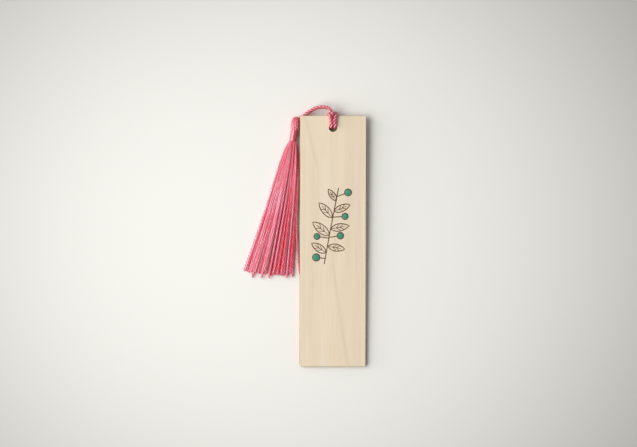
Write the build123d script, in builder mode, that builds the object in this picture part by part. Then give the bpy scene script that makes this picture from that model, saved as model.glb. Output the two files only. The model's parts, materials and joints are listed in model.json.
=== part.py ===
"""Wooden bookmark with a floss tassel, lying on a table.

The board is laser-cut from three-ply sheet. A doubled cord is looped through its hole and over its
top edge in a lark's head hitch, and the two ends of the cord go into the head of a tassel that lies
beside the board.

Frame: the origin is on the table under the middle of the board, +X points to the right across the
board, +Y points to the end with the hole, and +Z points up. Lengths are in millimetres.
"""

import os
from math import asin, atan, cos, degrees, pi, radians, sin, sqrt, tan

from build123d import *

os.makedirs("parts", exist_ok=True)

# Board
board_length = 152.0
board_width = 40.0
face_ply_thickness = 0.9
core_ply_thickness = 1.2
corner_radius = 1.0
# how much further out the cut edge stands at the back than at the front, on each side
kerf_taper = 0.15
# room round the two strands that go through the hole
hole_clearance = 0.2
# from the top edge to the middle of the hole
hole_setback = 7.2

# Cord and its hitch
cord_diameter = 2.1
# a many-sided section stands for the round cord and keeps its mesh light
cord_sides = 12
cord_clearance = 0.15
strand_gap = 0.2
# the strands are pulled towards the upper rim of the hole
strand_rise = 0.5
# room between the back of the board and the cord that runs behind it
hitch_slack = 0.75
hole_bend_radius = 1.75
edge_bend_radius = 1.8
shoulder_bend_radius = 3.0
# the crown is the round end of the loop, just beyond the top edge
crown_half_width = 1.8
crown_reach = 2.45
crown_drop = 0.3
crown_bend_share = 0.95
# the strands spread between these two distances from the top edge, before it and beyond it
shoulder_start = 2.2
shoulder_end = 0.3

# Tassel head and neck
head_diameter = 5.7
head_length = 8.5
head_straight = 2.4
head_opening_diameter = 1.8
head_wall = 1.1
end_knot_clearance = 0.25
# half the straight side of the knot's barrel shape, as a share of its radius
barrel_side_share = 0.41
neck_diameter = 3.5
neck_length = 6.1
tassel_lean = 5.0
# room between the tassel and the side of the board
tassel_gap = 0.3
# from the top edge of the board down to the middle of the round head
head_drop = 3.5

# Binding round the neck
thread_diameter = 0.5
thread_sides = 6
thread_pitch = 0.95
thread_turns = 6
thread_clearance = 0.08

# Skirt: strands in rows that fan out from a domed root
root_diameter = 4.0
root_gap = 0.3
root_overlap = 0.5
strand_rows = 4
strands_in_row = 13
# width and height of a strand where it leaves the root
root_width = 0.13
root_height = 0.72
# The same three places along each strand: its distance down from the root, the reach of its row to
# the left and to the right, the height of the lowest row and the step up to the next row
throat_down = 3.4
throat_left = 4.2
throat_right = 3.4
throat_low = 1.1
throat_step = 1.15
throat_width = 0.44
throat_height = 0.92
middle_down = 36.5
middle_left = 12.6
middle_right = 6.7
middle_low = 0.5
middle_step = 0.9
middle_width = 0.95
middle_height = 0.76
end_down = 77.0
end_left = 23.5
end_right = 10.2
end_low = 0.42
end_step = 0.86
end_width = 1.05
end_height = 0.78
# how unevenly the strands are trimmed
trim_spread = 2.2
trim_shares = (0.0, 0.7, -0.5, 0.3, 1.0, -0.8, 0.2, 0.5, -0.2, 0.9, -0.6)
row_stagger_shares = (0.14, 0.62, 0.38, 0.86)

# Free cord legs, from the middle of the crown and then from the middle of the tassel head
upper_leg_from_crown = [(-2.3, 2.55, 0.6), (-4.9, 4.3, 0.3), (-8.0, 5.0, -0.4), (-11.2, 4.4, -1.3)]
upper_leg_to_head = [(8.95, 6.95, 0.75), (6.4, 5.1, -0.35), (3.9, 3.65, -1.2), (1.9, 2.6, -1.25)]
lower_leg_from_crown = [
    (-3.25, 0.3, -4.4),
    (-5.4, -0.5, -4.65),
    (-8.0, -1.35, -4.75),
    (-11.1, -2.0, -4.75),
]
lower_leg_to_head = [(8.9, 1.55, -1.6), (6.0, 1.2, -1.55), (3.25, 1.0, -1.45)]
# how much of the shorter run beside a point its arc takes up
bend_run_share = 0.45

# Values worked out from the sizes above
cord_radius = cord_diameter / 2
board_thickness = 2 * face_ply_thickness + core_ply_thickness
top_edge = board_length / 2
hole_height = top_edge - hole_setback
strand_offset = (cord_diameter + strand_gap) / 2
strand_line = hole_height + strand_rise
hole_radius = sqrt(strand_offset**2 + strand_rise**2) + cord_radius + hole_clearance

# The lower end lies on the table and the cord behind the hole holds the upper end up
propped_length = board_length - hole_setback + strand_rise + hole_bend_radius
pitch = asin((cord_diameter + hitch_slack) / propped_length)
board_plane = Plane(
    origin=(0, 0, (top_edge + kerf_taper) * sin(pitch)),
    x_dir=(1, 0, 0),
    z_dir=(0, -sin(pitch), cos(pitch)),
)


def board_ply(underside, thickness):
    """One sheet of the board, with the taper of the cut edge, from its height above the back."""
    spread = 2 * kerf_taper * (1 - underside / board_thickness)
    taper = degrees(atan(kerf_taper / board_thickness))
    with BuildPart() as ply:
        with BuildSketch(board_plane.offset(underside)):
            RectangleRounded(board_width + spread, board_length + spread, corner_radius)
        extrude(amount=thickness, taper=taper)
        with BuildSketch(board_plane.offset(underside)):
            with Locations((0, hole_height)):
                Circle(hole_radius)
        extrude(amount=thickness, mode=Mode.SUBTRACT)
    return ply


ply_heights = {
    "back_ply": (0, face_ply_thickness),
    "core_ply": (face_ply_thickness, core_ply_thickness),
    "front_ply": (face_ply_thickness + core_ply_thickness, face_ply_thickness),
}
for ply_name, (ply_underside, ply_thickness) in ply_heights.items():
    ply = board_ply(ply_underside, ply_thickness)
    ply.part.label = ply_name
    export_step(ply.part, f"parts/{ply_name}.step")

# Hitch: two strands up the front, joined by the crown, and two legs up the back
front_level = board_thickness + cord_clearance + cord_radius
crown_level = front_level - crown_drop
back_level = -hitch_slack - cord_radius
edge_line = top_edge + kerf_taper + cord_clearance + cord_radius
left_front = [
    (-strand_offset, strand_line, board_thickness / 2),
    (-strand_offset, strand_line, front_level),
    (-strand_offset, top_edge - shoulder_start, front_level),
    (-crown_half_width, top_edge + shoulder_end, front_level),
    (-crown_half_width, top_edge + crown_reach, crown_level),
]
right_front = [(-x, y, z) for x, y, z in reversed(left_front)]
crown_bend_radius = crown_bend_share * crown_half_width
left_bends = [hole_bend_radius, shoulder_bend_radius, shoulder_bend_radius, crown_bend_radius]

with BuildPart() as hitch_loop:
    with BuildLine(board_plane) as front_route:
        FilletPolyline(left_front + right_front, radius=left_bends + left_bends[::-1])
    with BuildSketch(Plane(front_route.line ^ 0)):
        RegularPolygon(cord_radius, cord_sides)
    sweep(path=front_route.line)
    for side in (-1, 1):
        with BuildLine(board_plane) as back_route:
            FilletPolyline(
                (side * strand_offset, strand_line, board_thickness / 2),
                (side * strand_offset, strand_line, back_level),
                (side * strand_offset, edge_line, back_level),
                (side * strand_offset, edge_line, crown_level),
                radius=[hole_bend_radius, edge_bend_radius],
            )
        with BuildSketch(Plane(back_route.line ^ 0)):
            RegularPolygon(cord_radius, cord_sides)
        sweep(path=back_route.line)
hitch_loop.part.label = "hitch_loop"
export_step(hitch_loop.part, "parts/hitch_loop.step")

# Places that the free cord and the tassel hang on
crown_middle = board_plane.from_local_coords(
    Vector(0, top_edge + crown_reach - crown_half_width, board_thickness)
)
head_radius = head_diameter / 2
head_middle = Vector(
    -(board_width / 2 + kerf_taper + tassel_gap + head_radius),
    top_edge - head_drop,
    head_radius,
)


def cord_bends(points):
    """The radius at each inner point of a cord's route, as large as its two runs allow."""
    bends = []
    for before, here, after in zip(points, points[1:], points[2:]):
        arriving = here - before
        leaving = after - here
        half_turn = radians(arriving.get_angle(leaving)) / 2
        bends.append(bend_run_share * min(arriving.length, leaving.length) / tan(half_turn))
    return bends


def cord_leg(from_crown, to_head):
    """One free leg of the cord, a tube of straight runs and tangent arcs."""
    points = [crown_middle + Vector(*p) for p in from_crown]
    points += [head_middle + Vector(*p) for p in to_head]
    bends = cord_bends(points)
    with BuildPart() as leg:
        with BuildLine() as route:
            FilletPolyline(points, radius=bends)
        with BuildSketch(Plane(route.line ^ 0)) as section:
            RegularPolygon(cord_radius, cord_sides)
        sweep(path=route.line)
    length = route.wire().length
    print("cord leg length", round(length, 2), "bends", [round(bend, 1) for bend in bends])
    tube_share = leg.part.volume / (section.sketch.area * length)
    print("cord leg volume over section times length", round(tube_share, 4))
    return leg


upper_leg = cord_leg(upper_leg_from_crown, upper_leg_to_head)
upper_leg.part.label = "upper_leg"
export_step(upper_leg.part, "parts/upper_leg.step")

lower_leg = cord_leg(lower_leg_from_crown, lower_leg_to_head)
lower_leg.part.label = "lower_leg"
export_step(lower_leg.part, "parts/lower_leg.step")

# Tassel axis: local +Y runs back up the tassel, and the origin is the top of the head
across = Vector(cos(radians(tassel_lean)), -sin(radians(tassel_lean)), 0)
down = Vector(-sin(radians(tassel_lean)), -cos(radians(tassel_lean)), 0)
head_top = head_middle - down * head_radius
tassel_plane = Plane(origin=head_top, x_dir=across, z_dir=(0, 0, 1))
tassel_axis = Axis(head_top, down)

# Head: folded strands round the knotted cord ends, drawn in to the bound neck
opening_radius = head_opening_diameter / 2
neck_radius = neck_diameter / 2
cavity_radius = head_radius - head_wall
cavity_middle = -head_radius - head_straight / 2
head_mouth = -head_radius + sqrt(head_radius**2 - opening_radius**2)
shoulder_line = -head_radius - head_straight
neck_end = -head_length - neck_length


def barrel_side(radius, stem_radius):
    """The side of a barrel round the tassel axis, from its foot up to where a stem leaves it."""
    side = barrel_side_share * radius
    return [
        (0, cavity_middle - radius),
        (side, cavity_middle - radius),
        (radius, cavity_middle - side),
        (radius, cavity_middle + side),
        (stem_radius, cavity_middle + side + radius - stem_radius),
        (stem_radius, head_mouth),
    ]


with BuildPart() as head_strands:
    with BuildSketch(tassel_plane):
        with BuildLine():
            RadiusArc((opening_radius, head_mouth), (head_radius, -head_radius), head_radius)
            Line((head_radius, -head_radius), (head_radius, shoulder_line))
            TangentArc((head_radius, shoulder_line), (neck_radius, -head_length), tangent=(0, -1))
            Polyline((neck_radius, -head_length), (neck_radius, neck_end), (0, neck_end))
            Line((0, neck_end), (0, cavity_middle - cavity_radius))
            Polyline(barrel_side(cavity_radius, opening_radius))
        make_face()
    revolve(axis=tassel_axis)
head_strands.part.label = "head_strands"
export_step(head_strands.part, "parts/head_strands.step")

# Knot in the cord's two ends, inside the head
knot_radius = cavity_radius - end_knot_clearance
stub_radius = opening_radius - end_knot_clearance
with BuildPart() as end_knot:
    with BuildSketch(tassel_plane):
        with BuildLine():
            Polyline(barrel_side(knot_radius, stub_radius))
            Polyline((stub_radius, head_mouth), (0, head_mouth), (0, cavity_middle - knot_radius))
        make_face()
    revolve(axis=tassel_axis)
end_knot.part.label = "end_knot"
export_step(end_knot.part, "parts/end_knot.step")

# Binding: one thread wound round the neck
thread_radius = thread_diameter / 2
winding_radius = neck_radius + thread_clearance + thread_radius
winding_start = head_length + (neck_length - thread_pitch * thread_turns) / 2
upward = Vector(0, 0, 1)


def winding_place(turn):
    """The middle of the thread after a number of turns."""
    angle = 2 * pi * turn
    outward = across * cos(angle) + upward * sin(angle)
    return head_top + down * (winding_start + thread_pitch * turn) + outward * winding_radius


def winding_heading(turn):
    """The thread's direction after a number of turns."""
    angle = 2 * pi * turn
    sideways = upward * cos(angle) - across * sin(angle)
    return (sideways * (2 * pi * winding_radius) + down * thread_pitch).normalized()


def add_biarc(start, start_heading, end, end_heading):
    """Two tangent arcs from one place and heading to another."""
    span = end - start
    headings = start_heading + end_heading
    opening = 1 - start_heading.dot(end_heading)
    lean = span.dot(headings)
    reach = (sqrt(lean**2 + 2 * opening * span.dot(span)) - lean) / (2 * opening)
    leaving = start + start_heading * reach
    arriving = end - end_heading * reach
    joint = (leaving + arriving) * 0.5
    TangentArc(start, joint, tangent=start_heading)
    TangentArc(joint, end, tangent=(arriving - leaving).normalized())


half_turns = [half / 2 for half in range(2 * thread_turns + 1)]
with BuildPart() as neck_binding:
    with BuildLine() as winding:
        first = winding_place(half_turns[0])
        last = winding_place(half_turns[-1])
        Line(first - winding_heading(half_turns[0]) * thread_diameter, first)
        for turn, next_turn in zip(half_turns, half_turns[1:]):
            add_biarc(
                winding_place(turn),
                winding_heading(turn),
                winding_place(next_turn),
                winding_heading(next_turn),
            )
        Line(last, last + winding_heading(half_turns[-1]) * thread_diameter)
    with BuildSketch(Plane(winding.line ^ 0)):
        RegularPolygon(thread_radius, thread_sides)
    sweep(path=winding.line)
neck_binding.part.label = "neck_binding"
export_step(neck_binding.part, "parts/neck_binding.step")

samples_in_turn = 24
sample_count = samples_in_turn * thread_turns
wound = [winding.wire() @ (n / sample_count) for n in range(sample_count + 1)]
least_gap = min(
    (wound[a] - wound[b]).length - thread_diameter
    for a in range(len(wound))
    for b in range(a + samples_in_turn // 2, len(wound))
)
print("binding least gap to itself", round(least_gap, 3))

# Skirt: rows of strands that spread from the root and lie down on the table
root_radius = root_diameter / 2
root_middle = head_top + down * (head_length + neck_length + root_gap + root_radius)
spread_radius = root_radius - root_gap


def skirt_section(distance, sideways, height, width, thickness):
    """The cross section of one strand at a distance down the skirt, at a height over the table."""
    middle = root_middle + down * distance
    plane = Plane(origin=(middle.X, middle.Y, height), x_dir=across, z_dir=down)
    with BuildSketch(plane, mode=Mode.PRIVATE) as section:
        with Locations((sideways, 0)):
            Rectangle(width, thickness)
    return section.sketch


def skirt_strand(row, place):
    """One strand, from the root to its trimmed end."""
    row_share = (row + 0.5) / strand_rows
    place_share = (place + row_stagger_shares[row % len(row_stagger_shares)]) / strands_in_row
    rise = (2 * row_share - 1) * spread_radius
    reach = (2 * place_share - 1) * sqrt(spread_radius**2 - rise**2)
    trim = trim_shares[(place * strand_rows + row) % len(trim_shares)] * trim_spread
    sections = [skirt_section(-root_overlap, reach, root_middle.Z + rise, root_width, root_height)]
    for distance, left, right, low, step, width, thickness in (
        (throat_down, throat_left, throat_right, throat_low, throat_step, throat_width, throat_height),
        (middle_down, middle_left, middle_right, middle_low, middle_step, middle_width, middle_height),
        (end_down + trim, end_left, end_right, end_low, end_step, end_width, end_height),
    ):
        sideways = place_share * (left + right) - left
        sections.append(skirt_section(distance, sideways, low + row * step, width, thickness))
    return loft(sections, ruled=True, mode=Mode.PRIVATE)


with BuildPart() as skirt_strands:
    with BuildSketch(Plane(origin=root_middle, x_dir=across, z_dir=(0, 0, 1))):
        Circle(root_radius)
        with Locations((root_radius, 0)):
            Rectangle(2 * root_radius, 2 * root_radius, mode=Mode.INTERSECT)
        with Locations((0, root_radius)):
            Rectangle(2 * root_radius, 2 * root_radius, mode=Mode.INTERSECT)
    revolve(axis=Axis(root_middle, down))
    add([skirt_strand(row, place) for row in range(strand_rows) for place in range(strands_in_row)])
skirt_strands.part.label = "skirt_strands"
export_step(skirt_strands.part, "parts/skirt_strands.step")

print("board pitch in degrees", round(degrees(pitch), 3))
for place_name, place in (
    ("crown_middle", crown_middle),
    ("head_middle", head_middle),
    ("root_middle", root_middle),
    ("down", down),
):
    print(place_name, tuple(round(v, 4) for v in place))
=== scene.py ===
"""Looks of the wooden bookmark with a floss tassel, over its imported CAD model.

Lengths are in metres in the model's own frame: the origin is on the table under the middle of the
board, +X points to the right across the board, +Y to the end with the hole and +Z up.
"""

import json
from itertools import accumulate
from math import asin, cos, pi, radians, sin, sqrt, tau
from random import Random

import bmesh
import bpy
from mathutils import Matrix, Vector


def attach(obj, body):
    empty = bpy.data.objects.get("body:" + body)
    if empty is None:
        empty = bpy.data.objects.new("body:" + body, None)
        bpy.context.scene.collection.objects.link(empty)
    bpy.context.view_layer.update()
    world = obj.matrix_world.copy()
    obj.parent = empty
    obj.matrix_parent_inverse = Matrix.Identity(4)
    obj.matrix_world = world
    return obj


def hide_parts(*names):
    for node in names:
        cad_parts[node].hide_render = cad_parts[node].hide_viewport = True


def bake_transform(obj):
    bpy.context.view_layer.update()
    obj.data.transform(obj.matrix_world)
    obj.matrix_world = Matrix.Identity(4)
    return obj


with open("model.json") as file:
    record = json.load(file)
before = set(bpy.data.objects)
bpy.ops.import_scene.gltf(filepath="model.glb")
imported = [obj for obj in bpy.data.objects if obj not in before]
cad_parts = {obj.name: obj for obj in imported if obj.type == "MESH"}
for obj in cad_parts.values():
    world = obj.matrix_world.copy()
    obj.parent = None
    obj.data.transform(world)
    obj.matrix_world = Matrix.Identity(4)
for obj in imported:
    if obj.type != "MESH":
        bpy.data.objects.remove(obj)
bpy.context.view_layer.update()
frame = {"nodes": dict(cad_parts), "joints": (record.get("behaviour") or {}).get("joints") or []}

scene = bpy.context.scene

# Board, as in the part's source
board_length = 0.152
board_thickness = 0.003
kerf_taper = 0.00015
hole_setback = 0.0072
cord_diameter = 0.0021
hitch_slack = 0.00075
strand_rise = 0.0005
hole_bend_radius = 0.00175
top_edge = board_length / 2
propped_length = board_length - hole_setback + strand_rise + hole_bend_radius
board_tilt = asin((cord_diameter + hitch_slack) / propped_length)
board_lift = (top_edge + kerf_taper) * sin(board_tilt)
board_place = Matrix.Translation((0, 0, board_lift)) @ Matrix.Rotation(board_tilt, 4, "X")

# Joints of the cord and the tassel
joint_places = {joint["name"]: Vector(joint["pos_m"]) for joint in frame["joints"]}
crown_middle = joint_places["cord_swing"]
head_middle = joint_places["tassel_swing"]
root_middle = joint_places["skirt_lift"]

# Tassel axis: distances down the tassel start at the top of its head
down = (root_middle - head_middle).normalized()
across = Vector((-down.y, down.x, 0))
up = Vector((0, 0, 1))
head_radius = head_middle.z
head_top = head_middle - down * head_radius
# the head leans over against the board, and the neck brings the tassel back to its axis
head_lean = 0.00055
lean_start = 0.006
lean_end = 0.015


def axis_shift(distance):
    """How far the middle of the tassel stands off its axis at a distance down it."""
    share = min(1, max(0, (lean_end - distance) / (lean_end - lean_start)))
    return across * head_lean * share * share * (3 - 2 * share)


def tassel_point(distance, sideways, rise):
    """A place at a distance down the tassel, to the right of its middle and above it."""
    return head_top + down * distance + axis_shift(distance) + across * sideways + up * rise


# Finishes


def paint(red, green, blue):
    """A colour as a screen shows it, from 0 to 255, made linear."""

    def linear(level):
        level = level / 255
        return level / 12.92 if level <= 0.04045 else ((level + 0.055) / 1.055) ** 2.4

    return (linear(red), linear(green), linear(blue), 1.0)


class Signal:
    """The output of a material's node, on which sums and products add Math nodes."""

    def __init__(self, finish, socket):
        self.finish = finish
        self.socket = socket

    def maths(self, operation, *values):
        return self.finish.node("Math", {"operation": operation}, dict(enumerate(values)))

    def __add__(self, other):
        return self.maths("ADD", self, other)

    def __radd__(self, other):
        return self.maths("ADD", other, self)

    def __sub__(self, other):
        return self.maths("SUBTRACT", self, other)

    def __rsub__(self, other):
        return self.maths("SUBTRACT", other, self)

    def __mul__(self, other):
        return self.maths("MULTIPLY", self, other)

    def __truediv__(self, other):
        return self.maths("DIVIDE", self, other)

    def __rtruediv__(self, other):
        return self.maths("DIVIDE", other, self)

    def __pow__(self, other):
        return self.maths("POWER", self, other)

    def __abs__(self):
        return self.maths("ABSOLUTE", self)


class Finish:
    """A material and the nodes that shade it."""

    def __init__(self, name, constants):
        self.material = bpy.data.materials.new(name)
        self.material.use_nodes = True
        self.tree = self.material.node_tree
        self.shader = self.tree.nodes["Principled BSDF"]
        self.shade(constants)

    def feed(self, socket, value):
        if isinstance(value, Signal):
            self.tree.links.new(value.socket, socket)
        else:
            socket.default_value = value

    def node(self, kind, settings, sockets, output=0):
        """Adds a node with its settings and what its sockets hold or link to."""
        made = self.tree.nodes.new("ShaderNode" + kind)
        for key, value in settings.items():
            setattr(made, key, value)
        for key, value in sockets.items():
            self.feed(made.inputs[key], value)
        return Signal(self, made.outputs[output])

    def shade(self, sockets):
        for key, value in sockets.items():
            self.feed(self.shader.inputs[key], value)

    def place(self):
        """The three Object coordinates."""
        coordinates = self.node("TexCoord", {}, {}, "Object")
        return [self.node("SeparateXYZ", {}, {"Vector": coordinates}, axis) for axis in "XYZ"]

    def noise(self, scale, stretch=(1, 1, 1), detail=3.0, roughness=0.5):
        """Noise of that many grains to the metre, denser along the axes with a larger stretch."""
        coordinates = self.node("TexCoord", {}, {}, "Object")
        mapped = self.node("Mapping", {}, {"Vector": coordinates, "Scale": stretch})
        sockets = {"Vector": mapped, "Scale": scale, "Detail": detail, "Roughness": roughness}
        return self.node("TexNoise", {}, sockets)

    def spread(self, value, low, high):
        """A value brought from between low and high to between 0 and 1."""
        sockets = {"Value": value, "From Min": low, "From Max": high}
        return self.node("MapRange", {"interpolation_type": "SMOOTHSTEP"}, sockets)

    def mix(self, first, second, share):
        return self.node("Mix", {"data_type": "RGBA"}, {0: share, 6: first, 7: second}, 2)

    def bump(self, height, distance, strength):
        return self.node("Bump", {}, {"Height": height, "Distance": distance, "Strength": strength})


# two growth rings that show on the face: where each starts, its slope there and its curve, and where
# along the board it fades in and out
upper_ring = (-0.0166, 0.075, 0.235, 0.0, 0.030, 0.060)
lower_ring = (-0.0018, 0.0004, 0.149, 0.0, 0.004, -0.016)
ring_width = 0.0017
ring_strength = 0.13
ring_wander = 0.003
# grains of the face sheet to the metre, across, along and through it
pore_grains = (1500, 26, 600)
band_grains = (210, 7, 120)
cloud_grains = (38, 11, 30)
pore_depth = 0.00003
# grains and depth of the marks that the beam leaves on a cut edge, and of the stains there
edge_mark_grains = (3200, 3200, 60)
edge_mark_depth = 0.00004
edge_stain_grains = 160.0
core_mark_grains = (2600, 2600, 90)
core_mark_depth = 0.00005
burnt_grains = 1800.0
brush_grains = (900, 2600, 900)
# between these two levels of noise one colour passes into another
noise_low = 0.35
noise_high = 0.65


def wood_finish():
    """Pale sanded face sheet with a fine straight grain and two faint growth rings."""
    wood = Finish("pale_wood", {"Roughness": 0.62, "Specular IOR Level": 0.3})
    pores = wood.noise(1.0, pore_grains, 4.0, 0.6)
    bands = wood.noise(1.0, band_grains, 2.0)
    clouds = wood.noise(1.0, cloud_grains, 2.0)
    x, y, z = wood.place()

    def ring_line(start_x, start_y, slope, curve, fade_start, fade_end):
        along = start_y - y
        wandering = (clouds - 0.5) * ring_wander
        aside = abs(x - start_x - along * slope - along * along * curve + wandering)
        return (1 - wood.spread(aside, 0.0, ring_width)) * wood.spread(y, fade_start, fade_end)

    rings = (ring_line(*upper_ring) + ring_line(*lower_ring)) * ring_strength
    pale = wood.mix(paint(237, 222, 198), paint(231, 213, 186), wood.spread(bands, 0.3, 0.7))
    warm = wood.mix(pale, paint(237, 219, 190), wood.spread(clouds, 0.35, 0.7) * 0.6)
    grained = wood.mix(warm, paint(199, 174, 138), wood.spread(pores, 0.5, 0.78) * 0.32)
    ringed = wood.mix(grained, paint(176, 152, 120), rings)
    wood.shade({"Base Color": ringed, "Normal": wood.bump(pores, pore_depth, 0.35)})
    return wood


def cut_edge_finish():
    """Laser-cut edge, browned unevenly, with the fine upright marks of the beam."""
    edge = Finish("browned_edge", {"Roughness": 0.8, "Specular IOR Level": 0.2})
    marks = edge.noise(1.0, edge_mark_grains, 2.0)
    stains = edge.noise(edge_stain_grains)
    marked = edge.spread(marks, noise_low, noise_high)
    brown = edge.mix(paint(188, 142, 90), paint(150, 108, 64), marked)
    toasted = edge.mix(brown, paint(208, 166, 112), edge.spread(stains, 0.45, 0.7) * 0.7)
    edge.shade({"Base Color": toasted, "Normal": edge.bump(marks, edge_mark_depth, 0.5)})
    return edge


def core_edge_finish():
    """Edge of the crosswise core sheet, where its end grain is darker still."""
    edge = Finish("browned_core", {"Roughness": 0.85, "Specular IOR Level": 0.15})
    marks = edge.noise(1.0, core_mark_grains, 2.0)
    marked = edge.spread(marks, noise_low, noise_high)
    brown = edge.mix(paint(158, 112, 66), paint(116, 78, 44), marked)
    edge.shade({"Base Color": brown, "Normal": edge.bump(marks, core_mark_depth, 0.6)})
    return edge


def burnt_line_finish():
    """Scorched wood at the bottom of an engraved line."""
    burnt = Finish("burnt_line", {"Roughness": 0.9, "Specular IOR Level": 0.1})
    specks = burnt.spread(burnt.noise(burnt_grains), noise_low, noise_high)
    burnt.shade({"Base Color": burnt.mix(paint(120, 82, 44), paint(86, 56, 28), specks)})
    return burnt


def berry_finish():
    """Thin teal paint that lets some of the brown under it through."""
    teal = Finish("teal_paint", {"Roughness": 0.55})
    strokes = teal.noise(1.0, brush_grains)
    tone = teal.mix(paint(46, 128, 104), paint(76, 150, 124), teal.spread(strokes, 0.35, 0.6))
    worn = teal.mix(tone, paint(72, 92, 70), teal.spread(strokes, 0.58, 0.72) * 0.7)
    teal.shade({"Base Color": worn})
    return teal


# grains of the fibres to the metre, drawn out along the tassel, and of patches in the dye
fibre_grains = 5200.0
fibre_stretch = (1, 0.35, 1)
fibre_depth = 0.00004
dye_grains = 70.0
# how much the dye and the fibres shift the line between crest and groove
dye_shift = 0.4
fibre_shift = 0.3
# light that enters a thread spreads this far, most of all its red
glow_distance = 0.0005
glow_reach = (1, 0.25, 0.3)
floss_specular = 0.8
floss_sheen = (1, 0.93, 0.98, 1)


def floss_finish(name, crest_highlight_colour, groove_shade_colour, roughness, gloss, glow, crest_start, grain=0.4):
    """Silky dyed thread with painted light: a painted highlight on the crests of its twist from
    crest_start up, and painted shade in its grooves.

    gloss is its index of refraction, glow the share of light that spreads inside it and grain the
    strength of its fibres.
    """
    floss = Finish(
        name,
        {
            "Roughness": roughness,
            "IOR": gloss,
            "Specular IOR Level": floss_specular,
            "Specular Tint": floss_sheen,
            "Subsurface Weight": glow,
            "Subsurface Radius": glow_reach,
            "Subsurface Scale": glow_distance,
        },
    )
    # the crest attribute, how far a point stands out of its twist, picks between the painted highlight
    # and the painted shade
    crest = floss.node("Attribute", {"attribute_name": "crest"}, {}, "Fac")
    fibres = floss.noise(fibre_grains, fibre_stretch, 2.0)
    dye = floss.noise(dye_grains)
    shifted = crest + (dye - 0.5) * dye_shift + (fibres - 0.5) * fibre_shift
    tone = floss.mix(groove_shade_colour, crest_highlight_colour, floss.spread(shifted, crest_start, 1.0))
    floss.shade({"Base Color": tone, "Normal": floss.bump(fibres, fibre_depth, grain)})
    return floss


pale_wood = wood_finish()
browned_edge = cut_edge_finish()
browned_core = core_edge_finish()
burnt_line = burnt_line_finish()
teal_paint = berry_finish()
# tones of the one floss dye, from pale pink to deep red, for threads in the light and in shade: painted
# light and painted shade
floss_lit_shaded_tones = [
    floss_finish("floss_pink", paint(236, 178, 198), paint(246, 76, 104), 0.34, 1.85, 0.25, 0.6),
    floss_finish("floss_rose", paint(236, 150, 174), paint(246, 56, 82), 0.36, 1.75, 0.25, 0.6),
    floss_finish("floss_red", paint(240, 108, 132), paint(248, 36, 60), 0.4, 1.6, 0.3, 0.6),
    floss_finish("floss_deep", paint(244, 66, 90), paint(248, 22, 44), 0.45, 1.4, 0.4, 0.6),
]
# two tones of the one cord colour, their grooves painted far darker: painted shade between the plies and
# a painted highlight on their crests
cord_shade_tones = [
    floss_finish("cord_pink", paint(242, 132, 154), paint(190, 30, 48), 0.38, 2.0, 0.1, 0.72),
    floss_finish("cord_rose", paint(236, 110, 132), paint(180, 26, 42), 0.38, 2.0, 0.1, 0.72),
]
# head, core and binding: the same painted highlight on crests and painted shade in grooves; the core,
# seen only in gaps, is painted in shaded reds
head_floss = floss_finish("head_floss", paint(244, 190, 206), paint(236, 54, 78), 0.36, 1.85, 0.25, 0.7)
shaded_floss = floss_finish("shaded_floss", paint(226, 52, 68), paint(212, 42, 56), 0.6, 1.45, 0.4, 0.7)
binding_satin = floss_finish(
    "binding_satin", paint(236, 56, 82), paint(236, 46, 70), 0.25, 2.0, 0.4, 0.7, 0.02
)


# Making pieces
weld_distance = 1e-6


def add_piece(name, mesh, finishes, replaced=(), body=None):
    """Puts a mesh into the scene as a piece of the object."""
    piece = bpy.data.objects.new(name, mesh)
    scene.collection.objects.link(piece)
    for finish in finishes:
        mesh.materials.append(finish.material)
    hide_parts(*replaced)
    if body:
        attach(piece, body)
    return piece


def mesh_of(shape, name):
    """A mesh made from a bmesh, which is then done with."""
    mesh = bpy.data.meshes.new(name)
    shape.to_mesh(mesh)
    shape.free()
    return mesh


def curve_mesh(curve):
    """A mesh of a curve, which is then done with."""
    holder = bpy.data.objects.new(curve.name, curve)
    mesh = bpy.data.meshes.new_from_object(holder)
    bpy.data.objects.remove(holder)
    bpy.data.curves.remove(curve)
    return mesh


def smooth_lines(routes, order, steps):
    """Points along a smooth spline for each route of control points, the same number on each."""
    curve = bpy.data.curves.new("routes", "CURVE")
    curve.dimensions = "3D"
    for route in routes:
        spline = curve.splines.new("NURBS")
        spline.points.add(len(route) - 1)
        for point, place in zip(spline.points, route):
            point.co = (*place, 1)
        spline.order_u = order
        spline.use_endpoint_u = True
        spline.resolution_u = steps
    mesh = curve_mesh(curve)
    places = [vertex.co.copy() for vertex in mesh.vertices]
    bpy.data.meshes.remove(mesh)
    each = len(places) // len(routes)
    return [places[n * each : (n + 1) * each] for n in range(len(routes))]


def even_line(line, spacing):
    """The same line with its points a steady distance apart."""
    travelled = [0, *accumulate((b - a).length for a, b in zip(line, line[1:]))]
    count = round(travelled[-1] / spacing)
    points = []
    here = 0
    for n in range(count + 1):
        wanted = travelled[-1] * n / count
        while here < len(line) - 2 and travelled[here + 1] < wanted:
            here += 1
        share = (wanted - travelled[here]) / (travelled[here + 1] - travelled[here])
        points.append(line[here].lerp(line[here + 1], share))
    return points


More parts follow.
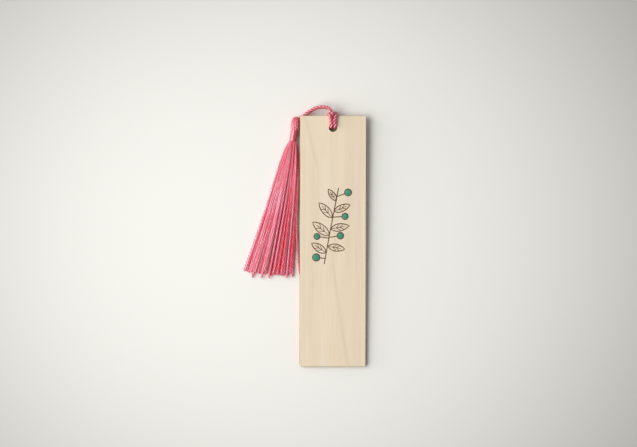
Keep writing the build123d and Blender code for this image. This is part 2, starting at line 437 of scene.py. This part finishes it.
def twisted_plies(line, plies, lay, offset, phase, swell):
    """Centrelines of the plies that twist round a line, one turn to each lay, and their outward ways.

    swell gives how far a ply stands off the line, as a share of offset, at each share of the length.
    """
    last = len(line) - 1
    heading = (line[1] - line[0]).normalized()
    normal = heading.orthogonal().normalized()
    twisted = [([], []) for _ in range(plies)]
    angle = phase
    for n, place in enumerate(line):
        heading = (line[min(n + 1, last)] - line[max(n - 1, 0)]).normalized()
        normal = (normal - heading * normal.dot(heading)).normalized()
        binormal = heading.cross(normal)
        if n:
            angle += tau * (place - line[n - 1]).length / lay
        for ply, (ply_line, ply_outward) in enumerate(twisted):
            turn = angle + tau * ply / plies
            outward = normal * cos(turn) + binormal * sin(turn)
            ply_line.append(place + outward * offset * swell(n / last))
            ply_outward.append(outward)
    return twisted


# cut ends take the pale crest colour, and no tip is deeper than the second tone: painted light on the lit
# tips
cut_end_crest = 0.85
tip_length_share = 0.04
tip_tone = 1


class Yarn:
    """Round threads gathered into one mesh, with how far each point stands out of its twist."""

    def __init__(self, radius, sides):
        self.radius = radius
        self.ring = [(cos(tau * n / sides), sin(tau * n / sides)) for n in range(sides)]
        self.points = []
        self.crests = []
        self.faces = []
        self.tones = []

    def add(self, line, outward, girth, tone=0, paleness=None):
        """Adds a thread along a line, whose outward ways lead from the middle of its twist.

        girth gives its radius, as a share of the yarn's, at each share of the length, and paleness
        how pale its crests are there, which scales their painted highlight.
        """
        sides = len(self.ring)
        first = len(self.points)
        last = len(line) - 1
        for n, place in enumerate(line):
            heading = (line[min(n + 1, last)] - line[max(n - 1, 0)]).normalized()
            side = heading.cross(outward[n]).normalized()
            front = side.cross(heading)
            radius = self.radius * girth(n / last)
            pale = paleness(n / last) if paleness else 1.0
            least_crest = cut_end_crest if n == last else 0
            for along_front, along_side in self.ring:
                self.points.append(place + (front * along_front + side * along_side) * radius)
                self.crests.append(max((1 + along_front) / 2 * pale, least_crest))
        for start in range(first, first + last * sides, sides):
            for n in range(sides):
                here = start + n
                after = start + (n + 1) % sides
                self.faces.append((here, after, after + sides, here + sides))
        end = first + last * sides
        self.faces.append(tuple(reversed(range(first, first + sides))))
        self.faces.append(tuple(range(end, end + sides)))
        tip = round(tip_length_share * last)
        self.tones += [tone] * ((last - tip) * sides) + [min(tone, tip_tone)] * (tip * sides + 2)

    def mesh(self, name):
        mesh = bpy.data.meshes.new(name)
        mesh.from_pydata(self.points, [], self.faces)
        mesh.polygons.foreach_set("material_index", self.tones)
        mesh.polygons.foreach_set("use_smooth", [True] * len(self.faces))
        mesh.attributes.new("crest", "FLOAT", "POINT").data.foreach_set("value", self.crests)
        return mesh


def tube_curve(name, radius, sides):
    """An empty curve whose lines become round tubes."""
    curve = bpy.data.curves.new(name, "CURVE")
    curve.dimensions = "3D"
    curve.bevel_depth = radius
    # without extra resolution a tube has four sides, and each step adds two
    curve.bevel_resolution = (sides - 4) // 2
    curve.use_fill_caps = True
    return curve


def spun(profile, axis_point, axis, steps):
    """A closed round body spun from a profile of points that starts and ends on the axis."""
    shape = bmesh.new()
    vertices = [shape.verts.new(point) for point in profile]
    edges = [shape.edges.new(pair) for pair in zip(vertices, vertices[1:])]
    bmesh.ops.spin(
        shape,
        geom=vertices + edges,
        cent=axis_point,
        axis=axis,
        angle=tau,
        steps=steps,
        use_merge=True,
    )
    bmesh.ops.remove_doubles(shape, verts=shape.verts, dist=weld_distance)
    bmesh.ops.recalc_face_normals(shape, faces=shape.faces)
    for face in shape.faces:
        face.smooth = True
    return shape


def steady(share):
    """The girth or swell of a thread that is the same all along."""
    return 1.0


# Board: three sheets with eased edges
edge_ease = 0.00012
# faces that are less level than this are cut walls or eased edges
wall_steepness = 0.95
# edges between the facets of one face turn by less than the first angle, and rims by more than the second
facet_angle = radians(2)
rim_angle = radians(45)


def sheet_mesh(node):
    """A ply with eased edges, its cut walls and those edges in the second finish."""
    shape = bmesh.new()
    shape.from_mesh(frame["nodes"][node].data)
    bmesh.ops.remove_doubles(shape, verts=shape.verts, dist=weld_distance)
    bmesh.ops.dissolve_limit(shape, angle_limit=facet_angle, verts=shape.verts, edges=shape.edges)
    rims = [edge for edge in shape.edges if edge.calc_face_angle(0) > rim_angle]
    bmesh.ops.bevel(
        shape,
        geom=rims,
        offset=edge_ease,
        segments=2,
        profile=0.5,
        affect="EDGES",
        material=-1,
    )
    for face in shape.faces:
        face.material_index = int(abs(face.normal.z) < wall_steepness)
    return mesh_of(shape, node)


def add_sheet(name, node, finishes):
    """A ply of the board, with a finish for its faces and one for its walls."""
    return add_piece(name, sheet_mesh(node), finishes, [node], "board")


front_finishes = [pale_wood, browned_edge, burnt_line]
add_sheet("back_sheet", "back_ply", [pale_wood, browned_edge])
add_sheet("core_sheet", "core_ply", [browned_core, browned_core])
front_sheet = add_sheet("front_sheet", "front_ply", front_finishes)

# Engraved sprig, in the plane of the board's front
outline_width = 0.00064
vein_width = 0.00044
groove_rise = 0.00006
# places along the stem from its foot to its tip, and how far its curve's handles reach
stem_points = [(-0.0052, -0.0138), (-0.0012, 0.0085), (0.0034, 0.0322)]
stem_reach = 0.0075
# foot and tip of each leaf, and how far its two sides bow out as a share of its length
leaves = [
    ((-0.0040, -0.0070), (-0.0128, -0.0012), 0.36),
    ((-0.0031, -0.0030), (0.0072, -0.0048), 0.34),
    ((-0.0020, 0.0035), (-0.0122, 0.0116), 0.33),
    ((-0.0014, 0.0075), (0.0098, 0.0094), 0.33),
    ((-0.0003, 0.0142), (-0.0084, 0.0233), 0.32),
    ((0.0006, 0.0180), (0.0104, 0.0222), 0.32),
    ((0.0021, 0.0245), (-0.0028, 0.0315), 0.34),
]
# handles of a leaf's sides, as shares of its length and of its bow
leaf_belly_share = 0.3
leaf_bow_share = 0.8
leaf_shoulder_share = 0.55
midrib_share = 0.78
vein_shares = (0.3, 0.5)
vein_lean_share = 0.2
vein_reach_share = 0.42
groove_sides = 8
line_steps = 7
# reach of the handles of a quarter circle, as a share of its radius
quarter_handle_share = 0.5523
# middle and radius of each berry, and where its stalk leaves the stem
berries = [
    ((-0.0100, -0.0098), 0.0022, (-0.0046, -0.0104)),
    ((0.0046, 0.0034), 0.0020, (-0.0019, 0.0024)),
    ((-0.0096, 0.0029), 0.0018, (-0.0022, 0.0019)),
    ((0.0074, 0.0151), 0.0019, (0.0000, 0.0146)),
    ((0.0092, 0.0296), 0.0021, (0.0027, 0.0272)),
]
berry_rise = 0.00007
berry_margin = 0.00016
berry_sides = 28
berry_height = berry_rise * 2
berry_ease = berry_rise * 1.6
berry_ease_steps = 3


def bezier(curve, knots, closed=False):
    """Adds a smooth line to a curve through knots of a place, an arriving and a leaving handle."""
    spline = curve.splines.new("BEZIER")
    spline.bezier_points.add(len(knots) - 1)
    spline.use_cyclic_u = closed
    spline.resolution_u = line_steps
    for point, (place, arriving, leaving) in zip(spline.bezier_points, knots):
        point.co = (*place, 0)
        point.handle_left = (*arriving, 0)
        point.handle_right = (*leaving, 0)


def straight(start, end):
    """Knots of a straight line."""
    middle = start.lerp(end, 0.5)
    return [(start, start, middle), (end, middle, end)]


def leaf_lines(outlines, veins, foot, tip, bow_share):
    """A leaf's outline and its midrib with two pairs of veins."""
    foot = Vector(foot)
    tip = Vector(tip)
    length = tip - foot
    side = Vector((-length.y, length.x)) * bow_share
    belly = foot + length * leaf_belly_share
    shoulder = foot + length * leaf_bow_share
    narrow = side * leaf_shoulder_share
    foot_knot = (foot, belly - side, belly + side)
    tip_knot = (tip, shoulder + narrow, shoulder - narrow)
    bezier(outlines, [foot_knot, tip_knot], True)
    bezier(veins, straight(foot, foot + length * midrib_share))
    for share in vein_shares:
        start = foot + length * share
        for way in (-1, 1):
            reach = length * vein_lean_share + side * way * vein_reach_share
            bezier(veins, straight(start, start + reach))


def ring(curve, middle, radius):
    """A circle of four knots."""
    middle = Vector(middle)
    reach = radius * quarter_handle_share
    knots = []
    for quarter in range(4):
        angle = tau * quarter / 4
        outward = Vector((cos(angle), sin(angle)))
        along = Vector((-sin(angle), cos(angle)))
        place = middle + outward * radius
        knots.append((place, place - along * reach, place + along * reach))
    bezier(curve, knots, True)


def engraving_cutter():
    """The tubes that cut the sprig's lines into the front."""
    outlines = tube_curve("outlines", outline_width / 2, groove_sides)
    veins = tube_curve("veins", vein_width / 2, groove_sides)
    stem = [Vector(point) for point in stem_points]
    climb = (stem[-1] - stem[0]).normalized() * stem_reach
    bezier(outlines, [(point, point - climb, point + climb) for point in stem])
    for leaf in leaves:
        leaf_lines(outlines, veins, *leaf)
    for middle, radius, stalk_foot in berries:
        ring(outlines, middle, radius)
        foot = Vector(stalk_foot)
        toward = (foot - Vector(middle)).normalized()
        bezier(outlines, straight(foot, Vector(middle) + toward * radius))
    shape = bmesh.new()
    for curve in (outlines, veins):
        mesh = curve_mesh(curve)
        shape.from_mesh(mesh)
        bpy.data.meshes.remove(mesh)
    for face in shape.faces:
        face.material_index = front_finishes.index(burnt_line)
    bmesh.ops.remove_doubles(shape, verts=shape.verts, dist=weld_distance)
    bmesh.ops.recalc_face_normals(shape, faces=shape.faces)
    shape.transform(board_place @ Matrix.Translation((0, 0, board_thickness + groove_rise)))
    return mesh_of(shape, "engraving_cutter")


cutter = bpy.data.objects.new("engraving_cutter", engraving_cutter())
scene.collection.objects.link(cutter)
for finish in front_finishes:
    cutter.data.materials.append(finish.material)
engraving = front_sheet.modifiers.new("engraving", "BOOLEAN")
engraving.object = cutter
engraving.operation = "DIFFERENCE"
engraving.solver = "EXACT"
engraving.use_self = True
engraved = front_sheet.evaluated_get(bpy.context.evaluated_depsgraph_get())
engraved_mesh = bpy.data.meshes.new_from_object(engraved)
front_sheet.modifiers.clear()
front_sheet.data = engraved_mesh
bpy.data.objects.remove(cutter)

# Painted berries, thin domed drops of paint inside their rings
for number, (middle, radius, stalk_foot) in enumerate(berries):
    drop = bmesh.new()
    rim_radius = radius - berry_margin
    bmesh.ops.create_circle(drop, cap_ends=True, segments=berry_sides, radius=rim_radius)
    raised = bmesh.ops.extrude_face_region(drop, geom=drop.faces[:])["geom"]
    top = [item for item in raised if isinstance(item, bmesh.types.BMVert)]
    bmesh.ops.translate(drop, verts=top, vec=(0, 0, berry_height))
    bmesh.ops.recalc_face_normals(drop, faces=drop.faces)
    rims = [edge for edge in drop.edges if all(vertex in top for vertex in edge.verts)]
    bmesh.ops.bevel(
        drop,
        geom=rims,
        offset=berry_ease,
        segments=berry_ease_steps,
        profile=0.5,
        affect="EDGES",
        material=-1,
    )
    for face in drop.faces:
        face.smooth = True
    drop.transform(board_place @ Matrix.Translation((*middle, board_thickness - berry_rise)))
    berry = mesh_of(drop, "berry")
    add_piece(f"berry_{number + 1}", berry, [teal_paint], (), "board")

# Cord: one twisted length, from the tassel head over the crown, round the hitch and back to the head.
# In the board's own frame: how far its strands stand to each side, lines across the board that its
# bends lie on, and levels above the board's back
strand_offset = 0.00115
strand_line = 0.0693
dive_line = 0.0712
dive_level = 0.0034
front_level = 0.0042
back_level = -0.0016
edge_line = 0.07735
crown_half_width = 0.0018
crown_line = 0.0773
crown_level = 0.0039
shoulder_line = 0.0738
spread_line = 0.0763
# the upper leg rises through the crown, crosses over its top and runs to the tassel; its later points
# are given from the middle of the crown and from the middle of the head
upper_leg_over_crown = [
    (0.00115, 0.07735, 0.0012),
    (0.0008, 0.0766, 0.0044),
    (-0.0003, 0.0770, 0.0062),
    (-0.0014, 0.0789, 0.0056),
]
upper_leg_from_crown = [
    (-0.0024, 0.0038, 0.0004),
    (-0.0046, 0.0045, 0.0002),
    (-0.008, 0.0047, -0.0004),
    (-0.0112, 0.0037, -0.0013),
]
upper_leg_to_head = [
    (0.0091, 0.0063, 0.00075),
    (0.0066, 0.0044, -0.00035),
    (0.0048, 0.0028, -0.0012),
    (0.0030, 0.0014, -0.0013),
    (0.0006, 0.0004, -0.0006),
]
# the lower leg hooks over the crown's left side and dives under the board, in points given likewise
lower_leg_over_crown = [
    (-0.00115, 0.07735, 0.0012),
    (-0.0007, 0.0766, 0.0045),
    (-0.0012, 0.0768, 0.0058),
    (-0.0018, 0.0770, 0.0046),
    (-0.0019, 0.0773, 0.0005),
    (-0.0029, 0.0758, -0.0016),
]
lower_leg_from_crown = [
    (-0.0052, -0.0029, -0.0046),
    (-0.008, -0.0032, -0.0046),
    (-0.0111, -0.003, -0.0046),
]
lower_leg_to_head = [
    (0.0089, 0.00155, -0.0016),
    (0.006, 0.0012, -0.00155),
    (0.00325, 0.001, -0.00145),
    (0.0012, 0.0006, -0.0008),
]
cord_order = 3
cord_steps = 16
cord_spacing = 0.00025
cord_plies = 3
cord_lay = 0.0060
cord_phase = 0.4
ply_radius = 0.00058
ply_offset = 0.00068
ply_sides = 10
# the plies alternate a paler and a deeper tone of one colour, painted shade that marks the twist
ply_shade_tones = (0, 1, 0)


def hitch_side(way):
    """Points of the loop on one side, from behind the top edge through the hole to the crown."""
    return [
        (way * strand_offset, edge_line, back_level),
        (way * strand_offset, strand_line, back_level),
        (way * strand_offset, strand_line, dive_level),
        (way * strand_offset, dive_line, front_level),
        (way * strand_offset, shoulder_line, front_level),
        (way * crown_half_width, spread_line, front_level),
        (way * crown_half_width, crown_line, crown_level),
    ]


def on_board(points):
    """Points of the board's own frame, where the board lies."""
    return [board_place @ Vector(point) for point in points]


def from_place(place, points):
    """Points that are given from a place."""
    return [place + Vector(point) for point in points]


cord_route = [
    *reversed(from_place(head_middle, upper_leg_to_head)),
    *reversed(from_place(crown_middle, upper_leg_from_crown)),
    *reversed(on_board(upper_leg_over_crown)),
    *on_board(hitch_side(1)),
    *reversed(on_board(hitch_side(-1))),
    *on_board(lower_leg_over_crown),
    *from_place(crown_middle, lower_leg_from_crown),
    *from_place(head_middle, lower_leg_to_head),
]
cord_line = even_line(smooth_lines([cord_route], cord_order, cord_steps)[0], cord_spacing)
cord_length = sum((b - a).length for a, b in zip(cord_line, cord_line[1:]))
cord_yarn = Yarn(ply_radius, ply_sides)
cord_twist = twisted_plies(cord_line, cord_plies, cord_lay, ply_offset, cord_phase, steady)
for tone, (ply, outward) in zip(ply_shade_tones, cord_twist):
    cord_yarn.add(ply, outward, steady, tone)
cord_nodes = ["hitch_loop", "upper_leg", "lower_leg"]
cord = add_piece("cord", cord_yarn.mesh("cord"), cord_shade_tones, cord_nodes)
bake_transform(cord)

# Tassel head: folded threads laid over a round core
head_length = 0.0085
neck_length = 0.0061
neck_radius = 0.00175
head_threads = 10
head_thread_radius = 0.00084
head_thread_order = 3
head_thread_steps = 10
head_thread_spacing = 0.0002
head_thread_plies = 3
head_thread_lay = -0.0058
# size and place of a ply, as shares of its thread's radius
head_ply_radius_share = 0.45
head_ply_offset_share = 0.52
head_ply_sides = 8
head_swirl = radians(-58)
# a thread's middle lies under the head's surface by this share of the thread's radius where the head
# is narrowest, and by all of it where the head is full
head_depth_share = 0.25
# girth of a thread where it is pressed, what it gains in the middle, and the share of its length
# past which it is pressed again
pressed_girth = 0.62
girth_gain = 0.48
girth_reach = 1.12
girth_power = 0.6
pressed_again = 0.88
# painted shade: paleness of a thread at the top of the head, what it gains and where it has gained it
top_paleness = 0.82
paleness_gain = 0.16
paleness_end = 0.5
head_core_gap = 0.00055
least_core_radius = 0.0003
# radius of the head at distances down from its top, for the dome, the full lower part and the shoulder
head_profile = [
    (0.00015, 0.00075),
    (0.0005, 0.00135),
    (0.0011, 0.0019),
    (0.0020, 0.00235),
    (0.0032, 0.00265),
    (0.0046, 0.00282),
    (0.0060, 0.00285),
    (0.0072, 0.00275),
    (0.0081, 0.0023),
    (0.0087, 0.00195),
    (0.0100, 0.00175),
]


def head_thread_route(number):
    """Control points of one folded thread, from the opening at the top down to the neck."""
    first = tau * number / head_threads
    reach = head_profile[-1][0]
    route = []
    for distance, radius in head_profile:
        angle = first + head_swirl * distance / reach
        inner = radius - head_thread_radius * min(1, radius / head_radius + head_depth_share)
        route.append(tassel_point(distance, inner * cos(angle), inner * sin(angle)))
    return route


def head_girth(share):
    """Threads are thinner where they crowd together at the top and at the neck."""
    if share >= pressed_again:
        return pressed_girth
    return pressed_girth + girth_gain * sin(pi * min(1, share * girth_reach)) ** girth_power


def head_paleness(share):
    """Painted shade: threads are redder at the top of the head, where they are bent over."""
    return top_paleness + paleness_gain * min(1, share / paleness_end)


rng = Random(11)
head_yarn = Yarn(head_thread_radius * head_ply_radius_share, head_ply_sides)
head_ply_offset = head_thread_radius * head_ply_offset_share
head_routes = [head_thread_route(number) for number in range(head_threads)]
for line in smooth_lines(head_routes, head_thread_order, head_thread_steps):
    thread = even_line(line, head_thread_spacing)
    phase = rng.uniform(0, tau)
    plies = twisted_plies(
        thread, head_thread_plies, head_thread_lay, head_ply_offset, phase, head_girth
    )
    for ply, outward in plies:
        head_yarn.add(ply, outward, head_girth, paleness=head_paleness)
head_mesh = head_yarn.mesh("tassel_head")
head = add_piece("tassel_head", head_mesh, [head_floss], ["head_strands"], "tassel")
# the knot in the cord's ends is out of sight inside the head
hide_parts("end_knot")

core_sides = 32
core_profile = [
    (head_profile[0][0], 0),
    *((distance, max(radius - head_core_gap, least_core_radius)) for distance, radius in head_profile),
    (head_length + neck_length, neck_radius - head_core_gap / 2),
    (head_length + neck_length, 0),
]
core_points = [head_top + down * distance + across * radius for distance, radius in core_profile]
core_shape = spun(core_points, head_top, down, core_sides)
for vertex in core_shape.verts:
    vertex.co += axis_shift((vertex.co - head_top).dot(down))
core = mesh_of(core_shape, "tassel_core")
add_piece("tassel_core", core, [shaded_floss], (), "tassel")

# Binding: satin thread wound closely round the neck
binding_turns = 19
binding_samples = 36
binding_thread_radius = 0.00060
binding_sides = 8
# the binding reaches up over the foot of the head, and its turns draw in towards the skirt
binding_overlap = 0.0003
binding_margin = 0.00001
binding_taper = 0.0002
binding_top = head_length - binding_overlap
binding_bottom = head_length + neck_length

binding_line = []
binding_outward = []
for n in range(binding_turns * binding_samples + 1):
    share = n / (binding_turns * binding_samples)
    angle = tau * binding_turns * share
    radius = neck_radius + binding_margin - binding_taper * share
    distance = binding_top + (binding_bottom - binding_top) * share
    binding_line.append(tassel_point(distance, radius * cos(angle), radius * sin(angle)))
    binding_outward.append(across * cos(angle) + up * sin(angle))
binding_yarn = Yarn(binding_thread_radius, binding_sides)
binding_yarn.add(binding_line, binding_outward, steady)
add_piece(
    "neck_winding",
    binding_yarn.mesh("neck_winding"),
    [binding_satin],
    ["neck_binding"],
    "tassel",
)

# Skirt: twisted threads that fan out and lie down on the table
skirt_strands = 60
strand_order = 4
strand_steps = 14
strand_spacing = 0.00036
strand_plies = 3
strand_lay = -0.0058
strand_lay_spread = (0.9, 1.12)
strand_ply_radius = 0.00027
strand_ply_offset = 0.00036
strand_ply_sides = 6
# how far down the tassel each station is, its reach to the left and right, and the lowest and the
# highest strand there
skirt_stations = [
    (0.0132, 0.0011, 0.0011, 0.0018, 0.0039),
    (0.0148, 0.0024, 0.0019, 0.0012, 0.0044),
    (0.0182, 0.0041, 0.0032, 0.0009, 0.0045),
    (0.0260, 0.0065, 0.00465, 0.0007, 0.0044),
    (0.0460, 0.0109, 0.0066, 0.0007, 0.0040),
    (0.0700, 0.0163, 0.0069, 0.0007, 0.0032),
]
end_left = 0.0233
end_right = 0.0078
end_low = 0.0007
end_high = 0.0024
# in the neck, down to this station, the threads are bundled in the round
bundled_stations = 2
bundle_core_share = 0.45
# where a thread lies within its own share of the fan
place_spread = (0.2, 0.8)
# one thread strays from the others towards the board
stray_strand = skirt_strands - 1
stray_reach = 0.0046
trim_line = -0.0205
trim_rise = 0.0028
trim_power = 3
trim_spread = 0.0006
long_trim = 0.0020
long_trim_spread = (0.8, 1.1)
long_strands = (10, 20, 30, 50)
# strands on the left lie low and those on the right lean up against the board
left_rise_share = 0.35
left_rise_gain = 1.6
left_depth_share = 0.45
left_depth_gain = 1.0
lean_share = 0.85
lean_power = 4
lean_place = 0.93
least_lean_layer = 0.75
leaning_stations = (2, 3, 4)
# the fan is thickest in its middle, and this much of its height is there at its sides too
dome_power = 0.8
side_height_share = 0.35
# heights at which threads lie over one another, taken in turn
layer_shares = (1.0, 0.3, 0.65, 0.45, 0.2)
layer_spread = 0.07
# near the neck the threads lie in another order than lower down
upper_order_shares = (1, 1, 1, 0.7, 0.3, 0, 0)
# threads gather into locks as they come down
lock_count = 17
lock_pull_share = 0.2
lock_station = 5
# and they wander sideways, the more the further down
wander = 0.0004
bend_wander_share = 0.6
bend_turn = 1.9
wander_shares = (0, 0, 0.1, 0.35, 0.7, 1.0, 1.25)
# girth of a thread in the neck and the share of its length at which it has filled out
neck_girth = 0.55
full_girth_place = 0.36
fill_power = 0.7
# painted shade in the neck: paleness of a thread there and the share of its length at which it is fully
# pale
neck_paleness = 0.86
full_paleness_place = 0.3
# how far the plies open at the cut end, and where they start to
end_opening = 0.2
opening_place = 0.975
# two distances down the tassel, whose points each group of the skirt works out and does not use
skirt_blend_start = 0.0150
skirt_blend_end = 0.0215


def strand_girth(share):
    """Threads are pressed thin in the neck and fill out below it."""
    return neck_girth + (1 - neck_girth) * min(1, share / full_girth_place) ** fill_power


def strand_paleness(share):
    """Painted shade: threads are redder where they are pressed together in the neck."""
    return neck_paleness + (1 - neck_paleness) * min(1, share / full_paleness_place)


def strand_swell(share):
    """The plies of a thread open a little at its cut end."""
    opened = max(0, (share - opening_place) / (1 - opening_place))
    return strand_girth(share) * (1 + end_opening * opened)


# tones of the plies of threads on top, in the middle and underneath, in the left third and elsewhere:
# painted light and shade of one dye, paler on top and on the left toward the light, deeper underneath in
# shade
left_tones = [((0, 0, 0), (0, 0, 0)), ((0, 0, 1), (0, 1, 1)), ((1, 2, 2), (2, 2, 2))]
other_tones = [((0, 0, 0), (0, 0, 1), (1, 1, 0)), ((2, 2, 2), (2, 2, 1)), ((3, 3, 2), (3, 3, 3))]
third_tones = (left_tones, other_tones, other_tones)
# layers above the first are on top, and those above the second in the middle
top_layer = 0.58
middle_layer = 0.4


def strand_tones(number, layer, rng):
    """Tones of a thread's plies, as painted light and shade: pale on the left and on top, deeper
    underneath.
    """
    if layer > top_layer or number == stray_strand:
        depth = 0
    elif layer > middle_layer:
        depth = 1
    else:
        depth = 2
    third = len(third_tones) * number // skirt_strands
    return rng.choice(third_tones[third][depth])


def strand_route(number, rng):
    """Control points of one thread of the skirt, and its mean layer."""
    place = (number + rng.uniform(*place_spread)) / skirt_strands
    lock_middle = (int(place * lock_count) + 0.5) / lock_count
    layer = layer_shares[number % len(layer_shares)] + rng.uniform(-layer_spread, layer_spread)
    if place > lean_place:
        layer = max(layer, least_lean_layer)
    layer = min(1, max(0, layer))
    upper_layer = rng.random()
    drift = rng.gauss(0, wander)
    if place > lean_place:
        drift = -abs(drift)
    bend = rng.gauss(0, wander * bend_wander_share)
    end_place = place + (lock_middle - place) * lock_pull_share
    end_sideways = end_place * (end_left + end_right) - end_left
    stray = stray_reach if number == stray_strand else 0
    cut = trim_line + trim_rise * (1 - place) ** trim_power + rng.gauss(0, trim_spread)
    if number in long_strands:
        cut = trim_line - long_trim * rng.uniform(*long_trim_spread)
    end_distance = (head_top.y - cut + across.y * end_sideways) / -down.y
    stations = [*skirt_stations, (end_distance, end_left, end_right, end_low, end_high)]
    route = []
    for index, (distance, left, right, low, high) in enumerate(stations):
        pull = lock_pull_share * min(1, index / lock_station)
        here = place + (lock_middle - place) * pull
        dome = sqrt(max(0, 1 - (2 * place - 1) ** 2)) ** dome_power
        dome *= min(1, left_rise_share + left_rise_gain * place)
        if index in leaning_stations:
            dome = max(dome, lean_share * place**lean_power)
        level = layer + (upper_layer - layer) * upper_order_shares[index]
        level = 0.5 + (level - 0.5) * min(1, left_depth_share + left_depth_gain * place)
        sideways = here * (left + right) - left
        sideways += (drift + bend * sin(index * bend_turn)) * wander_shares[index]
        if index == len(skirt_stations):
            sideways += stray
        if index < bundled_stations:
            angle = pi * (1 - place)
            outer_share = bundle_core_share + (1 - bundle_core_share) * level
            sideways = left * cos(angle) * outer_share
            height = head_radius + (2 * level - 1) * left * sin(angle)
        else:
            fullness = side_height_share + (1 - side_height_share) * dome
            height = low + (high - low) * level * fullness
        point = tassel_point(distance, sideways, 0)
        point.z = height
        route.append(point)
    return route, (layer + upper_layer) / 2


rng = Random(5)
skirt_routes, skirt_layers = zip(*(strand_route(number, rng) for number in range(skirt_strands)))
skirt_lines = smooth_lines(skirt_routes, strand_order, strand_steps)
third = skirt_strands // 3
skirt_groups = {
    "skirt_left": range(0, third),
    "skirt_middle": range(third, 2 * third),
    "skirt_right": range(2 * third, skirt_strands),
}
for group, numbers in skirt_groups.items():
    yarn = Yarn(strand_ply_radius, strand_ply_sides)
    for number in numbers:
        line = even_line(skirt_lines[number], strand_spacing)
        lay = strand_lay * rng.uniform(*strand_lay_spread)
        phase = rng.uniform(0, tau)
        plies = twisted_plies(line, strand_plies, lay, strand_ply_offset, phase, strand_swell)
        tones = strand_tones(number, skirt_layers[number], rng)
        for tone, (ply, outward) in zip(tones, plies):
            yarn.add(ply, outward, strand_girth, tone, strand_paleness)
    piece = add_piece(group, yarn.mesh(group), floss_lit_shaded_tones, ["skirt_strands"])
    tassel_point(skirt_blend_start, 0, 0)
    tassel_point(skirt_blend_end, 0, 0)
    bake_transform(piece)

# Floor: a pale sheet of paper whose colour darkens away from the light, a painted pool of light and
# painted shade
floor_size = 6.0
floor_bright = paint(246, 245, 239)
falloff_width = 0.285
falloff_length = 0.256
falloff_power = 1.5
least_falloff_share = 0.3
bright_middle = Vector((-0.006, 0.003, 0))
view_middle = Vector((-0.0087, 0.0107, 0))

floor_shape = bmesh.new()
bmesh.ops.create_grid(floor_shape, x_segments=1, y_segments=1, size=floor_size / 2)
floor = bpy.data.objects.new("floor", mesh_of(floor_shape, "floor"))
scene.collection.objects.link(floor)
paper = Finish("paper", {"Roughness": 0.9, "Specular IOR Level": 0.1})
paper_x, paper_y, paper_z = paper.place()
from_middle_x = (paper_x - bright_middle.x) / falloff_width
from_middle_y = (paper_y - bright_middle.y) / falloff_length
distance_squared = from_middle_x * from_middle_x + from_middle_y * from_middle_y
falloff = 1 / (1 + distance_squared**falloff_power)
lit = falloff.maths("MAXIMUM", falloff, least_falloff_share)
paper.shade({"Base Color": paper.mix(paint(0, 0, 0), floor_bright, lit)})
floor.data.materials.append(paper.material)

# Light: a wide soft window on the left, the pale wall and the sill below it, and an even pale room
light_distance = 1.3
light_bearing = radians(178)
light_width = 1.4
window_elevation = radians(56)
window_height = 0.74
window_power = 13.7
wall_elevation = radians(22)
wall_height = 0.75
wall_power = 7.2
sill_elevation = radians(8)
sill_height = 0.26
sill_power = 3.2
room_level = 0.27
room_colour = (1.0, 0.995, 0.98, 1.0)


def add_light(name, elevation, height, power):
    """A broad lamp on the left that faces the middle of the view."""
    level = cos(elevation)
    way = Vector((level * cos(light_bearing), level * sin(light_bearing), sin(elevation)))
    lamp = bpy.data.lights.new(name, "AREA")
    lamp.shape = "RECTANGLE"
    lamp.size = light_width
    lamp.size_y = height
    lamp.energy = power
    light = bpy.data.objects.new(name, lamp)
    light.location = view_middle + way * light_distance
    light.rotation_euler = (-way).to_track_quat("-Z", "Y").to_euler()
    scene.collection.objects.link(light)


add_light("window", window_elevation, window_height, window_power)
add_light("wall", wall_elevation, wall_height, wall_power)
add_light("sill", sill_elevation, sill_height, sill_power)

room = bpy.data.worlds.new("room")
room.use_nodes = True
room_light = room.node_tree.nodes["Background"]
room_light.inputs["Color"].default_value = room_colour
room_light.inputs["Strength"].default_value = room_level
scene.world = room

# Camera: straight above, as wide as the photograph at the board's front
camera_height = 0.9
view_width = 0.386
view_roll = radians(0.1)
camera_data = bpy.data.cameras.new("camera")
camera_data.sensor_width = 36.0
camera_data.lens = camera_data.sensor_width * camera_height / view_width
camera = bpy.data.objects.new("camera", camera_data)
camera.location = view_middle + up * (camera_height + board_lift + board_thickness)
camera.rotation_euler = (0, 0, view_roll)
scene.collection.objects.link(camera)
scene.camera = camera
scene.view_settings.view_transform = "Standard"
